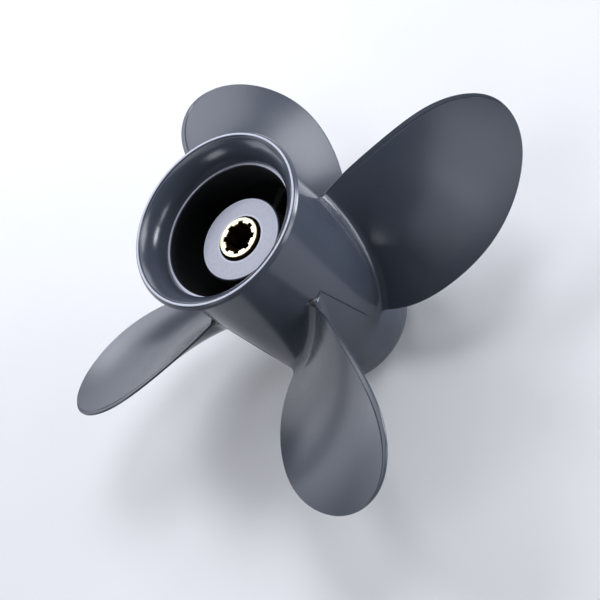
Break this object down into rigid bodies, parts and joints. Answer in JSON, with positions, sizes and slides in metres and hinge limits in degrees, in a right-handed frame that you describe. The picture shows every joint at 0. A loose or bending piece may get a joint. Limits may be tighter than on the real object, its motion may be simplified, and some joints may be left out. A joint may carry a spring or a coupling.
{
  "type": "outboard boat propeller",
  "caption": "Right-hand boat propeller with a hollow exhaust barrel, a flared after end and a splined sleeve in a rubber bush.",
  "frame": {"origin": "centre of the barrel's front end, on the surface that it rests on", "axes": "+Z along the shaft axis, from the front end to the flared after end; the first blade stands over +X"},
  "size_m": [0.235, 0.235, 0.1128],
  "materials": {
    "paint": "satin dark blue-grey paint on cast aluminium",
    "rubber": "matte black rubber",
    "brass": "machined brass"
  },
  "bodies": {
    "root": {"barrel": "paint", "flare_ring": "paint", "inner_hub": "paint", "rib_1": "paint", "rib_2": "paint", "rib_3": "paint", "rib_4": "paint", "blade_1": "paint", "blade_2": "paint", "blade_3": "paint", "blade_4": "paint", "rubber_bush": "rubber", "splined_sleeve": "brass"}
  },
  "joints": []
}
